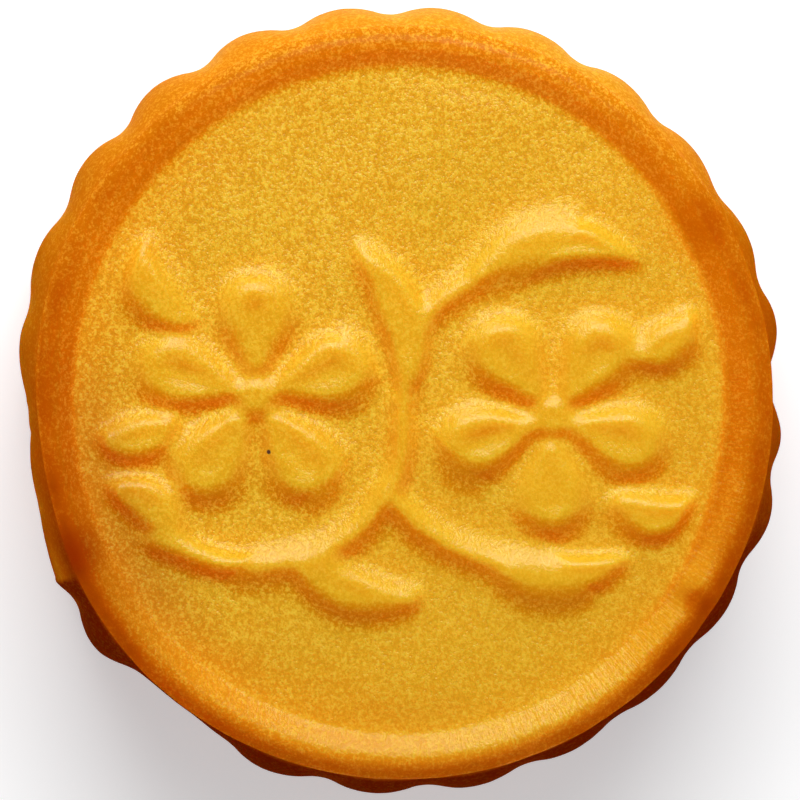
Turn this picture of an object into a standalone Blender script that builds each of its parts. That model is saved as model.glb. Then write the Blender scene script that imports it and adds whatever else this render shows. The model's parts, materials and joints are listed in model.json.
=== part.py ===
"""Round baked mooncake with a fluted side and a blossom spray pressed into its face.

Blender 4.5, metres, +Z up. The origin is under the middle of the flat base, the pressed
face looks up, and +Y is the side that the blossoms' top leaves point to.
"""

import math

import bpy
import numpy as np
from mathutils import Vector
from mathutils.geometry import delaunay_2d_cdt

MM = 0.001

# Overall form
HEIGHT = 27.0 * MM
LIP_RADIUS = 34.45 * MM
GROOVE_RADIUS = 35.75 * MM
OVAL_SHARE = 0.008
OVAL_ANGLE = math.radians(101)

# Pressed face and the rim round it
FACE_RADIUS = 30.4 * MM
FACE_OFFSET = 0.2 * MM
CREST_RADIUS = 32.85 * MM
RIM_HEIGHT = 1.15 * MM
RIM_FOOT = 0.12
RIM_CREST = 0.34
LIP_DROP = 0.9 * MM
RIM_WAVE = 0.14 * MM
FACE_SWELL = 0.09 * MM
FACE_BLEND = 1.5 * MM
WRINKLE_ANGLE = math.radians(-34)
WRINKLE_WIDTH = math.radians(3)
WRINKLE_HEIGHT = 0.22 * MM
WRINKLE_PEAK = 2.33
LIP_DENT = 0.75 * MM
LIP_DENT_ANGLE = math.radians(186)
LIP_DENT_WIDTH = math.radians(14)

# Fluted side
FLUTES = 24
FLUTE_DEPTH = 0.9 * MM
GROOVE_SOFTNESS = 0.3
FLUTE_FOOT_FADE = 0.6
BROAD_UNEVEN = 0.15
CLOSE_UNEVEN = 0.14
FIRST_GROOVE = math.radians(2.4)
GROOVE_DRIFT = math.radians(2)
DRIFT_ANGLE = math.radians(323)
SHOULDER_FALL = 2.6 * MM
UNDERCUT = 0.25 * MM
UNDERCUT_FALL = 0.6 * MM
BARREL = 0.35 * MM
FOOT_HEIGHT = 4.0 * MM
FOOT_TUCK = 1.5 * MM

# Dents in the side, each with its angle, half width and depth
DENTS = (
    (math.radians(1.8), math.radians(6.8), 1.45 * MM),
    (math.radians(178.6), math.radians(8.1), 0.9 * MM),
)
# One flute is pressed flat, at the same three values
FLATTENED = (math.radians(232.7), math.radians(9.7), 0.85 * MM)

# A fold of skin that hides the flutes at the left, and grows thicker to its torn end
FOLD_START = math.radians(183)
FOLD_END = math.radians(208)
FOLD_BLEND = math.radians(5)
FOLD_SINK = 0.72 * MM
FOLD_PROUD = 0.54 * MM
FOLD_COVER = 0.85

# Sections of the raised strokes: where the crest lies, how round the fall outside it is, and the dish
RELIEF_HEIGHT = 1.3 * MM
MERGE_POWER = 4
RIDGE_FALL = 1.7
CUSHION_CREST = 0.46
CUSHION_FALL = 1.2
PETAL_DISH = 0.3
LEAF_DISH = 0.22

# Blossoms, in millimetres: centre, radius and the direction of the first petal in degrees.
# A petal's start, end and half widths are shares of its blossom's radius.
BLOSSOMS = (((-13.6, 0.6), 12.0, 90), ((13.7, -1.4), 11.6, 54))
PETALS = 5
PETAL_START = 0.30
PETAL_END = 0.655
PETAL_NARROW = 0.17
PETAL_WIDE = 0.355
EYE_SHARE = 0.21

# Stems and leaves, in millimetres
STEMS = (
    ((-22.7, -12.6), (-14.7, -15.0), (-6.2, -13.0), (-0.8, -6.8), (0.1, 1.7), (2.4, 8.3), (7.9, 12.1)),
    ((-1.8, -8.4), (3.0, -12.4), (9.5, -15.2)),
)
STEM_HALF_WIDTH = 1.6
STEM_TAPER = 0.25
LEAF_END = 0.6
LEAF_START_SHARE = 0.08
LEAF_TAPER_POWER = 0.8
LEAF_BASE_GAIN = 1.12
LEAF_TIP_LOSS = 0.35
# Each leaf: where it springs from, its direction in degrees, length, half width and bend
LEAVES = (
    ((-9.7, -14.4), -18, 11.5, 2.2, -0.12),
    ((-21.2, -12.2), 148, 8.0, 2.0, -0.18),
    ((-21.8, -2.0), 190, 6.4, 2.1, 0.12),
    ((0.4, 2.5), 112, 12.4, 2.3, -0.12),
    ((7.3, 11.9), 6, 13.6, 2.5, 0.16),
    ((-20.4, 7.7), 118, 8.2, 2.2, 0.16),
    ((8.9, -15.0), 2, 11.0, 2.2, -0.14),
    ((20.3, -9.4), 2, 6.6, 2.1, -0.20),
    ((22.3, 4.3), 42, 5.8, 2.0, -0.12),
)

# Fineness of the mesh
STEPS_PER_FLUTE = 6
RIM_STEPS = 5
SIDE_DEPTHS = (0.5, 1.6, 3.4, 6.5, 12.0, 18.5, 22.5, 24.6)
FINE_SPACING = 0.71 * MM
FINE_MARGIN = 0.4 * MM
COARSE_SPACING = 2.0 * MM
FOOT_MARGIN = 1.1 * MM
EDGE_CLEARANCE = 0.4 * MM
KEEP_INSIDE = 1
WELD = 1e-7

CRUST_COLOUR = (0.76, 0.33, 0.035, 1.0)
CRUST_ROUGHNESS = 0.45
SMOOTH_ANGLE = math.radians(50)


def clear_scene():
    for existing in list(bpy.data.objects):
        bpy.data.objects.remove(existing, do_unlink=True)


def heading(degrees):
    """Unit vector at an angle counter-clockwise from +X."""
    return np.array([math.cos(math.radians(degrees)), math.sin(math.radians(degrees))])


def smooth_path(points, steps):
    """A Catmull-Rom curve through the points, with this many steps between each two."""
    points = np.array(points, float)
    padded = np.vstack([2 * points[0] - points[1], points, 2 * points[-1] - points[-2]])
    path = []
    for a, b, c, d in zip(padded[:-3], padded[1:-2], padded[2:-1], padded[3:]):
        for t in np.arange(steps) / steps:
            bend = (2 * a - 5 * b + 4 * c - d) * t**2 + (3 * b - a - 3 * c + d) * t**3
            path.append(0.5 * (2 * b + (c - a) * t + bend))
    path.append(points[-1])
    return np.array(path)


def ridge(path, half_width):
    """A round raised line: its middle, its half width along it, and the shape of its section."""
    along = np.linspace(0, 1, len(path))
    halves = np.array([half_width(share) for share in along])
    return {"path": path * MM, "half": halves * MM, "crest": 0.0, "fall": RIDGE_FALL, "dish": 0.0}


def cushion(path, half_width, dish):
    """A wider raised shape with its crest part way out, and its middle dished."""
    return ridge(path, half_width) | {"crest": CUSHION_CREST, "fall": CUSHION_FALL, "dish": dish}


def petal(centre, radius, degrees):
    reach = np.linspace(PETAL_START, PETAL_END, 7)[:, None]
    path = np.array(centre) + radius * reach * heading(degrees)

    def half(along):
        return radius * (PETAL_NARROW + (PETAL_WIDE - PETAL_NARROW) * math.sin(math.pi / 2 * along))

    return cushion(path, half, PETAL_DISH)


def blossom_eye(centre, radius):
    """The round middle, as a very short stroke."""
    path = np.array(centre) + np.array([[0, 0], [0.02, 0]])
    return cushion(path, lambda along: EYE_SHARE * radius, PETAL_DISH)


def leaf(base, degrees, length, half_width, bend):
    """A bowed leaf, widest near its base, whose midrib is a shallow dish."""
    out = np.linspace(0, 1, 13)[:, None]
    sag = 4 * bend * out * (1 - out)
    path = np.array(base) + length * (out * heading(degrees) + sag * heading(degrees + 90))

    def half(along):
        share = min(1, LEAF_START_SHARE + (1 - LEAF_START_SHARE) * along)
        taper = math.sin(math.pi * share) ** LEAF_TAPER_POWER
        return LEAF_END + half_width * taper * (LEAF_BASE_GAIN - LEAF_TIP_LOSS * along)

    return cushion(path, half, LEAF_DISH)


def stem(points):
    return ridge(smooth_path(points, 5), lambda along: STEM_HALF_WIDTH * (1 - STEM_TAPER * along))


def spray():
    strokes = [stem(points) for points in STEMS]
    strokes += [leaf(*shape) for shape in LEAVES]
    for centre, radius, start in BLOSSOMS:
        strokes += [petal(centre, radius, start + 360 * k / PETALS) for k in range(PETALS)]
        strokes.append(blossom_eye(centre, radius))
    return strokes


def span_to(xy, line):
    """How far each point is from a stroke's middle, and the stroke's half width there."""
    nearest = np.full(len(xy), np.inf)
    half = np.ones(len(xy))
    spans = zip(line["path"][:-1], line["path"][1:], line["half"][:-1], line["half"][1:])
    for start, end, start_half, end_half in spans:
        step = end - start
        along = np.clip((xy - start) @ step / (step @ step), 0, 1)
        distance = np.linalg.norm(xy - start - along[:, None] * step, axis=1)
        closer = distance < nearest
        nearest = np.where(closer, distance, nearest)
        half = np.where(closer, start_half + (end_half - start_half) * along, half)
    return nearest, half


def stroke_section(share, line):
    """Height across a stroke, as a share: a round crest, a soft fall outside it and a dish inside it."""
    outer = np.clip((share - line["crest"]) / (1 - line["crest"]), 0, 1)
    height = 0.5 + 0.5 * np.cos(math.pi * outer ** line["fall"])
    if line["dish"]:
        inner = np.clip(1 - share / line["crest"], 0, 1)
        height *= 1 - line["dish"] * np.sin(math.pi / 2 * inner) ** 2
    return height


def relief(xy):
    """Height of the raised spray over the face, where strokes that meet run together."""
    total = np.zeros(len(xy))
    for line in spray():
        distance, half = span_to(xy, line)
        total += stroke_section(distance / half, line) ** MERGE_POWER
    return RELIEF_HEIGHT * np.minimum(total, 1) ** (1 / MERGE_POWER)


def near_spray(xy):
    """Whether each point is on the raised spray or close beside it."""
    near = np.zeros(len(xy), bool)
    for line in spray():
        distance, half = span_to(xy, line)
        near |= distance - half < FINE_MARGIN
    return near


def gentle_waves(xy):
    """The face is slightly uneven, with a few broad swells."""
    x, y = xy[:, 0] / MM, xy[:, 1] / MM
    swells = np.sin(0.17 * x + 0.8) * np.sin(0.21 * y + 1.9) + 0.6 * np.sin(0.33 * x - 0.27 * y + 0.4)
    return FACE_SWELL * swells


def flute_angles():
    """Angles round the side, evenly spaced within each flute, whose grooves drift a little."""
    even = FIRST_GROOVE + 2 * math.pi * np.arange(FLUTES + 1) / FLUTES
    grooves = even + GROOVE_DRIFT * np.cos(even - DRIFT_ANGLE)
    shares = np.arange(STEPS_PER_FLUTE) / STEPS_PER_FLUTE
    angles = grooves[:-1, None] + np.diff(grooves)[:, None] * shares
    return angles.ravel(), np.tile(shares, FLUTES)


def fold_share(angles):
    """1 along the fold of skin, 0 elsewhere."""
    turn = np.mod(angles, 2 * math.pi)
    rise = np.clip((turn - FOLD_START) / FOLD_BLEND, 0, 1)
    fall = np.clip((FOLD_END - turn) / FOLD_BLEND, 0, 1)
    return np.minimum(rise, fall)


def hump(angles, centre, width, flatness=2):
    """1 at an angle round the cake, and falling to 0 either side of it."""
    away = (angles - centre + math.pi) % (2 * math.pi) - math.pi
    return np.exp(-(np.abs(away / width) ** flatness))


def flute_bulge(angles, shares):
    """How far each angle bulges over the grooves: uneven round lobes, dented, nearly flat along the fold."""
    aside = np.abs(2 * shares - 1)
    soft = np.maximum(aside - 1 + GROOVE_SOFTNESS, 0) ** 2 / GROOVE_SOFTNESS
    lobe = (1 - aside**2 + soft - GROOVE_SOFTNESS) / (1 - GROOVE_SOFTNESS)
    uneven = 1 + BROAD_UNEVEN * np.sin(3 * angles + 2.05) + CLOSE_UNEVEN * np.sin(5 * angles + 2.49)
    fold = fold_share(angles)
    along = np.clip((np.mod(angles, 2 * math.pi) - FOLD_START) / (FOLD_END - FOLD_START), 0, 1)
    proud = (FOLD_PROUD + FOLD_SINK) * along**3 - FOLD_SINK
    centre, width, depth = FLATTENED
    flat = hump(angles, centre, width, flatness=4)
    bulge = FLUTE_DEPTH * lobe * uneven * (1 - FOLD_COVER * fold) * (1 - flat) + proud * fold - depth * flat
    for centre, width, depth in DENTS:
        bulge = bulge - depth * hump(angles, centre, width)
    return bulge


def lip_radii(angles):
    return LIP_RADIUS - LIP_DENT * hump(angles, LIP_DENT_ANGLE, LIP_DENT_WIDTH)


def oval(angles):
    """How much longer each direction is than in a round cake."""
    return 1 + OVAL_SHARE * np.cos(2 * (angles - OVAL_ANGLE))


def ring(angles, radii, centre_y, heights):
    """Points on an oval loop about (0, centre_y)."""
    x = radii * np.cos(angles) * oval(angles)
    y = radii * np.sin(angles) * oval(angles) + centre_y
    return np.column_stack([x, y, np.broadcast_to(heights, angles.shape)])


def rim_rise(up):
    """Height up the rim's inner slope, as a share: even, with a rounded foot and a rounder crest."""
    up = min(up, 1)
    gain = min(up, RIM_FOOT) ** 2 / (2 * RIM_FOOT) + max(up - RIM_FOOT, 0)
    loss = max(up - 1 + RIM_CREST, 0) ** 2 / (2 * RIM_CREST)
    return (gain - loss) / (1 - RIM_FOOT / 2 - RIM_CREST / 2)


def rim_rings(angles):
    """Loops from the flat face just inside the rim, over its foot and crest to the lip."""
    crest = (CREST_RADIUS - FACE_RADIUS) / (LIP_RADIUS - FACE_RADIUS)
    wave = RIM_WAVE * (np.sin(2 * angles + 0.9) + 0.5 * np.sin(5 * angles))
    aside = ((angles - WRINKLE_ANGLE + math.pi) % (2 * math.pi) - math.pi) / WRINKLE_WIDTH
    wrinkle = WRINKLE_HEIGHT * WRINKLE_PEAK * aside * np.exp(-(aside**2))
    rings = [ring(angles, FACE_RADIUS - FOOT_MARGIN, FACE_OFFSET, HEIGHT - RIM_HEIGHT)]
    for across in np.linspace(0, 1, RIM_STEPS + 1):
        rise = rim_rise(across / crest)
        drop = LIP_DROP * max((across - crest) / (1 - crest), 0) ** 2
        height = HEIGHT - RIM_HEIGHT + RIM_HEIGHT * rise - drop + rise * (wave + wrinkle)
        radius = FACE_RADIUS + (lip_radii(angles) - FACE_RADIUS) * across
        rings.append(ring(angles, radius, FACE_OFFSET * (1 - across), height))
    return rings


def side_rings(angles, bulge):
    """Loops down the fluted side, from just under the lip to the edge of the base."""
    lip_height = HEIGHT - LIP_DROP
    rings = []
    for depth in [*(step * MM for step in SIDE_DEPTHS), lip_height]:
        height = lip_height - depth
        shoulder = 1 - math.exp(-depth / SHOULDER_FALL)
        foot = max(1 - height / FOOT_HEIGHT, 0) ** 2
        radius = lip_radii(angles) * (1 - shoulder) + GROOVE_RADIUS * shoulder
        radius += BARREL * math.sin(math.pi * depth / lip_height)
        radius -= UNDERCUT * math.exp(-depth / UNDERCUT_FALL)
        radius -= FOOT_TUCK * foot
        fluted = radius + bulge * shoulder * (1 - FLUTE_FOOT_FADE * foot)
        rings.append(ring(angles, fluted, 0, height))
    return rings


def lattice(spacing):
    """Points on a grid of even triangles that covers the face."""
    reach = int(FACE_RADIUS / spacing) + 2
    column, row = np.meshgrid(np.arange(-reach, reach + 1), np.arange(-reach, reach + 1))
    x = (column + 0.5 * (row % 2)) * spacing
    y = row * spacing * math.sqrt(3) / 2
    return np.column_stack([x.ravel(), y.ravel()])


def inside_foot(xy):
    """How far each point of the face lies inside the loop that meets the rim."""
    x, y = xy[:, 0], xy[:, 1] - FACE_OFFSET
    return FACE_RADIUS - FOOT_MARGIN - np.hypot(x, y) / oval(np.arctan2(y, x))


def face_points():
    """Points of the face: close together on the raised spray, and further apart on the plain ground."""
    fine = lattice(FINE_SPACING)
    coarse = lattice(COARSE_SPACING)
    fine = fine[inside_foot(fine) > EDGE_CLEARANCE]
    coarse = coarse[inside_foot(coarse) > EDGE_CLEARANCE]
    return np.vstack([fine[near_spray(fine)], coarse[~near_spray(coarse)]])


def face_height(xy):
    """The face meets the rim's foot at one level, and swells gently further in."""
    inward = np.clip(inside_foot(xy) / FACE_BLEND, 0, 1)
    return HEIGHT - RIM_HEIGHT + inward * (gentle_waves(xy) + relief(xy))


def face_triangles(foot):
    """Points of the face inside the foot loop, and triangles over both, with the loop's points first."""
    count = len(foot)
    flat = [Vector(point) for point in np.vstack([foot, face_points()])]
    edges = [(k, (k + 1) % count) for k in range(count)]
    outline = [list(range(count))]
    placed, _, triangles, *_ = delaunay_2d_cdt(flat, edges, outline, KEEP_INSIDE, WELD)
    return np.array([tuple(point) for point in placed])[count:], triangles


def crust_mesh():
    """Points and faces of the whole cake: the face, the loops down its rim and side, and the base."""
    angles, shares = flute_angles()
    count = len(angles)
    rings = rim_rings(angles) + side_rings(angles, flute_bulge(angles, shares))
    inner, triangles = face_triangles(rings[0][:, :2])

    walls = np.vstack(rings)
    inside = np.column_stack([inner, face_height(inner)])
    base_centre = [[0.0, 0.0, 0.0]]
    points = np.vstack([walls, inside, base_centre])

    def index(number):
        return number if number < count else len(walls) + number - count

    faces = [tuple(index(corner) for corner in triangle) for triangle in triangles]
    for level in range(len(rings) - 1):
        for k in range(count):
            upper, lower, after = level * count, (level + 1) * count, (k + 1) % count
            faces.append((upper + k, lower + k, lower + after, upper + after))
    last = (len(rings) - 1) * count
    middle = len(points) - 1
    faces += [(last + (k + 1) % count, last + k, middle) for k in range(count)]

    centre = (points[:, :2].min(axis=0) + points[:, :2].max(axis=0)) / 2
    points[:, :2] -= centre
    return points, faces


def crust_material():
    material = bpy.data.materials.new("baked_crust")
    material.use_nodes = True
    shader = material.node_tree.nodes["Principled BSDF"]
    shader.inputs["Base Color"].default_value = CRUST_COLOUR
    shader.inputs["Roughness"].default_value = CRUST_ROUGHNESS
    shader.inputs["Metallic"].default_value = 0.0
    return material


def add_mooncake():
    points, faces = crust_mesh()
    mesh = bpy.data.meshes.new("mooncake")
    mesh.from_pydata(points.tolist(), [], faces)
    mesh.update()
    mesh.shade_smooth()
    mesh.set_sharp_from_angle(angle=SMOOTH_ANGLE)
    mesh.materials.append(crust_material())
    cake = bpy.data.objects.new("mooncake", mesh)
    bpy.context.scene.collection.objects.link(cake)


clear_scene()
add_mooncake()
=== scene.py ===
"""Looks of a round baked mooncake with a fluted side and a blossom spray pressed into its face.

The crust is one closed mesh in the row frame, in metres: the base lies on Z 0, the pressed face
looks up, and the spray stands upright when +Y points away. Geometry Nodes shape it from named sizes,
and one procedural material bakes it from gold on the face to brown at the lip, the side and the foot,
with painted light and shade on its slopes and on its near side.
"""

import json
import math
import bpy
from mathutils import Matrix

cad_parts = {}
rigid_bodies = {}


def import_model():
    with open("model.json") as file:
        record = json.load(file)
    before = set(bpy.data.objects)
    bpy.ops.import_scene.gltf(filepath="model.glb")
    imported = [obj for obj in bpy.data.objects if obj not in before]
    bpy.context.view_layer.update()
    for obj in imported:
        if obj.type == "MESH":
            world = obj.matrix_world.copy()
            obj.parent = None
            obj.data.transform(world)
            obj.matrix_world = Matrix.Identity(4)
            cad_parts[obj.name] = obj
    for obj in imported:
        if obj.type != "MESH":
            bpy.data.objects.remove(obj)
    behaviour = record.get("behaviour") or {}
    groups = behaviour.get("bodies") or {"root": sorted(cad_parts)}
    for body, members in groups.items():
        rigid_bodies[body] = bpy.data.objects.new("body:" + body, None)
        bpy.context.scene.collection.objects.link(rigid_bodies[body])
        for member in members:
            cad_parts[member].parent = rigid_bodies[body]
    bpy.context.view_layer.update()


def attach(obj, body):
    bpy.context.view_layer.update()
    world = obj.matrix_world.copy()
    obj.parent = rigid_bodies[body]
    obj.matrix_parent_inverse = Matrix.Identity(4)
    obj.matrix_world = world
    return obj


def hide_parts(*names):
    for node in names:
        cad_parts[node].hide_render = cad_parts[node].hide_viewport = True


bl_info = {
    "name": "Mooncake Looks",
    "version": (1, 0, 0),
    "blender": (4, 5, 0),
    "location": "3D View > Sidebar > Mooncake",
    "description": "Builds a fluted mooncake with a golden baked crust, and a plain stage for it",
    "category": "Object",
}

from types import SimpleNamespace

import bpy
import numpy as np
from bpy.props import FloatProperty, FloatVectorProperty, IntProperty, PointerProperty
from mathutils import Matrix, Vector

for startup_object in list(bpy.data.objects):
    bpy.data.objects.remove(startup_object, do_unlink=True)
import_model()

MM = 0.001
CAKE_NODE = "mooncake"

# Blossoms, in millimetres: centre, radius and the direction of the first petal in degrees.
# A petal's start, end and half widths are shares of its blossom's radius.
BLOSSOMS = (((-13.6, 0.6), 12.0, 90), ((13.7, -1.4), 11.6, 54))
PETALS = 5
PETAL_START = 0.30
PETAL_END = 0.655
PETAL_NARROW = 0.17
PETAL_WIDE = 0.355
EYE_SHARE = 0.21

# Stems and leaves, in millimetres
STEMS = (
    ((-22.7, -12.6), (-14.7, -15.0), (-6.2, -13.0), (-0.8, -6.8), (0.1, 1.7), (2.4, 8.3), (7.9, 12.1)),
    ((-1.8, -8.4), (3.0, -12.4), (9.5, -15.2)),
)
STEM_HALF_WIDTH = 1.6
STEM_TAPER = 0.25
LEAF_END = 0.6
LEAF_START_SHARE = 0.08
LEAF_TAPER_POWER = 0.8
LEAF_BASE_GAIN = 1.12
LEAF_TIP_LOSS = 0.35
# Each leaf: where it springs from, its direction in degrees, length, half width and bend
LEAVES = (
    ((-9.7, -14.4), -18, 11.5, 2.2, -0.12),
    ((-21.2, -12.2), 148, 8.0, 2.0, -0.18),
    ((-21.8, -2.0), 190, 6.4, 2.1, 0.12),
    ((0.4, 2.5), 112, 12.4, 2.3, -0.12),
    ((7.3, 11.9), 6, 13.6, 2.5, 0.16),
    ((-20.4, 7.7), 118, 8.2, 2.2, 0.16),
    ((8.9, -15.0), 2, 11.0, 2.2, -0.14),
    ((20.3, -9.4), 2, 6.6, 2.1, -0.20),
    ((22.3, 4.3), 42, 5.8, 2.0, -0.12),
)

# Sections of the raised strokes: where the crest lies, how round the fall outside it is, and the dish
RIDGE_FALL = 1.7
CUSHION_CREST = 0.46
CUSHION_FALL = 1.2
PETAL_DISH = 0.3
LEAF_DISH = 0.22
STEPS_ALONG = 24
STEM_STEPS = 12

# How the strokes merge, how broadly they wander, and how often the relief and the lean are smoothed
MERGE_POWER = 4.0
WOBBLE_PATCH = 2.6 * MM
UNEVEN_PATCH = 3.5 * MM
RELIEF_BLUR = 11
LEAN_BLUR = 12

# Waves round the cake, each by its count, height and phase, and swells in radians a metre with phases
FLUTE_WAVES = ((3.0, 0.15, 2.05), (5.0, 0.14, 2.49))
RIM_WAVES = ((2.0, 1.0, 0.9), (5.0, 0.5, 0.0))
SWELL_ACROSS = (170.0, 0.8)
SWELL_ALONG = (210.0, 1.9)
SLANTED_SWELL = (330.0, 270.0, 0.4)
SLANTED_SHARE = 0.6

# Small forms of the crust. The gain makes the wrinkle's crest as high as its size says, and the torn
# patch is a share of the lip's radius.
LIP_CROWDING = 1.55
WRINKLE_GAIN = 2.33
WAVE_REACH = 2.0 * MM
BEAD_SLANT = 0.7
TORN_PATCH = 0.035
FOLD_RISE = 3.0
LUMP_START = 2.5 * MM
WELD = 0.005 * MM

# Ways from the middle of the cake, seen from above
NEAR_WAY = (-0.10, -0.99, 0.0)
LEFT_WAY = (-0.96, -0.28, 0.0)
RIGHT_WAY = (1.0, 0.0, 0.0)
CALM_WAY = (0.8, -0.6, 0.0)

# Zones of the skin: where each starts and where it is full. Heights and the calm zone are in metres,
# distances from the lip in millimetres, below 0 on the face, and what follows a way is a cosine.
BASE_ZONE = (0.30 * MM, 0.04 * MM)
BASE_FROM_LIP = 27.0
FOOT_ZONE = (9.0 * MM, 0.5 * MM)
# The near side, away from the key light, is darker: partly baked browner, partly painted shade.
BURNT_AND_SHADED_ZONE = (0.48, 0.86)
CALM_ZONE = (-15.0 * MM, 20.0 * MM)
RIM_ZONE = (-4.3, -3.1)
RIM_MORE_AT_RIGHT = 0.8
# The paler line along the lip is in part the bead's own colour and in part a painted highlight.
LIP_HIGHLIGHT_WIDTH = 0.16
LIP_HIGHLIGHT_LEAST = 0.3
LIP_ZONES = {
    "near_rim": (-12.0, -4.0),
    "crest": (-2.6, -0.9),
    "lip": (-2.0, -0.4),
    "side": (-0.2, 0.9),
    "upper": (13.0, 5.0),
}
WAY_ZONES = {
    "low_right": ((0.90, -0.44, 0.0), 0.8, 1.0),
    "up_right": ((0.69, 0.72, 0.0), 0.86, 1.0),
    "low_left": ((-0.94, -0.34, 0.0), 0.82, 1.0),
    "streaked": ((0.78, -0.62, 0.0), 0.5, 0.9),
}

# Spots and specks, in millimetres: the middle and the radius
SPOTS = {
    "redder": ((-30.8, -13.6, 26.4), 4.2),
    "warmer": ((26.5, 16.8, 26.2), 5.4),
    "dented": ((26.3, -17.7, 26.5), 2.6),
    "flake": ((-32.5, -15.4, 24.0), 4.5),
}
SPECKS = (((-12.8, -4.3, 26.6), 0.30), ((15.3, -16.0, 25.9), 0.24))
SPECK_COLOUR = (0.06, 0.02, 0.02)

# Patches of uneven baking, and the browning from 0 to 1 of the gold, amber, brown and umber crust
BROAD_PATCH = 9.0 * MM
MIDDLING_PATCH = 2.2 * MM
BROWNING_STOPS = (0.0, 0.30, 0.62, 1.0)

# How much browner each zone is, or how much paler. A share counts where its zones meet the first one.
LEAST_BROWNING = 0.02
# In part painted shade and light: the near side is darker as it faces away from the key light, the rim's
# inner slope on the far side is browner as it faces away too, and the lip edge and the fold's torn edge
# carry paler painted highlights.
BROWNING = (
    ("rim", (0.24, "far"), (0.18, "left"), (0.06, "left", "burnt"), (0.22, "right"), (0.07, "low_right")),
    ("near_rim", (0.17, "left"), (0.04, "right"), (0.03, "low_right")),
    ("crest", (0.02,), (0.17, "far"), (0.03, "right"), (0.05, "left"), (-0.08, "up_right")),
    ("lip", (0.33, "burnt"), (-0.17, "burnt", "left"), (0.05, "right"), (-0.16, "far")),
    ("side", (0.30, "burnt"), (0.25, "burnt", "upper"), (-0.24, "burnt", "left")),
    ("side", (0.20, "right", "right"), (-0.20, "far"), (0.07, "left"), (0.08, "far", "flute")),
    ("foot", (0.20,), (-0.06, "burnt")),
    ("hollow", (-0.14,), (-0.12, "burnt")),
    ("fold", (-0.10, "burnt"), (-0.26, "burnt", "upper"), (-0.32, "flake")),
    ("torn", (-0.12, "burnt", "upper")),
    ("redder", (0.08,)),
    ("warmer", (0.17,)),
    ("dented", (0.24,)),
    ("edge", (-0.09,)),
    ("broad", (0.16,), (0.16, "rim"), (-0.18, "side")),
    ("middling", (0.14,), (0.12, "lip"), (-0.18, "side")),
)
BASE_BROWNING = 0.34
BASE_PATCHES = (("broad", (0.45,)), ("middling", (0.20,)))

# Grain: which part of its noise is pale and which dim, and where the skin is smoother. The pale grains are
# in part painted glints.
FINE_SHARE = 0.55
PALE_GRAIN = (0.44, 0.68)
DIM_GRAIN = (0.56, 0.32)
GRAIN_BROWNING = 0.05
RELIEF_SMOOTHS = (0.1, 0.7)
RELIEF_SMOOTHNESS = 0.45
BROWN_SMOOTHS = 1.5
SIDE_LEAST_GRAIN = 0.08
SIDE_SMOOTHNESS = 0.45
CALM_SHARE = 0.35

# Tints: how far a slope leans to +Y for painted light and to -Y for painted shade, how high the relief is,
# and the painted shade patch at the lower left
LIT_PAINT_LEAN = (0.05, 0.25)
SHADE_PAINT_LEAN = (-0.03, -0.22)
CUSHION_RELIEF = (0.45, 0.95)
SHADE_PATCH_START = (-11.0, -5.5)
SHADE_PATCH_END = (-0.8, -2.4)
PAINTED_SHADE_TINT = (0.80, 0.72, 0.80)
CUSHION_SHARE = 0.5
LIT_PAINT_SHARE = 0.6
LIT_PAINT_LESS_AT_LEFT = 0.4
RIM_LESS_LIT_PAINT = 0.8
RIM_LESS_SHADE_PAINT = 0.55
SHADE_PAINT_SHARE = 0.75
RUSSET_SHARE = 0.85
SPECK_SHARE = 0.95
SPECK_SHARPNESS = 3.0

# Bump: the grain, and streaks that run across the rim
BUMP_HEIGHT = 0.14 * MM
STREAK_RADIUS = 0.034
STREAK_WIDTH = 0.30 * MM
STREAK_STRETCH = 0.16 * MM
STREAK_HEIGHT = 0.9
STREAK_START = (-4.6, -3.6)
STREAK_END = (-0.6, -1.8)

# Finish: what roughens the skin and dulls its glaze, the coat, and how far red, green and blue light
# spread in the dough, as shares of the glow's depth
PATCH_ROUGHNESS = 0.16
GRAIN_ROUGHNESS = 0.22
BROWN_DULLS = 1.9
FAR_CREST_DULLS = 0.35
SHADE_PAINT_DULLS = 0.7
FAR_SIDE_GLAZE = 0.5
COAT_ROUGHNESS = 0.22
COAT_IOR = 1.5
GLOW_RADIUS = (1.0, 0.10, 0.02)

# Board, light and backdrop. The light looks at a point above the base, and the camera at the face.
BOARD_ROUGHNESS = 0.75
BOARD_UNEVENNESS = 0.1
BOARD_PATCH = 0.08
KEY_SIDES = (0.42, 0.30)
KEY_COLOUR = (1.0, 0.98, 0.94)
KEY_AIM = 20 * MM
WORLD_COLOUR = (1.0, 0.96, 0.91, 1.0)
BACKDROP_COLOUR = (0.86, 0.855, 0.84, 1.0)
FLOOR_HALF = 3.0
FACE_LEVEL = 25.8 * MM


def size_of(name, description, millimetres):
    return FloatProperty(
        name=name, description=description, default=millimetres * MM, unit="LENGTH", precision=5
    )


def angle_of(name, description, degrees):
    return FloatProperty(
        name=name, description=description, default=math.radians(degrees), unit="ROTATION"
    )


def share_of(name, description, share):
    return FloatProperty(
        name=name, description=description, default=share, min=0.0, max=1.0, subtype="FACTOR"
    )


def count_of(name, description, count):
    return IntProperty(name=name, description=description, default=count, min=1)


def colour_of(name, description, colour):
    return FloatVectorProperty(
        name=name, description=description, default=colour, size=3, min=0.0, max=1.0, subtype="COLOR"
    )


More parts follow.
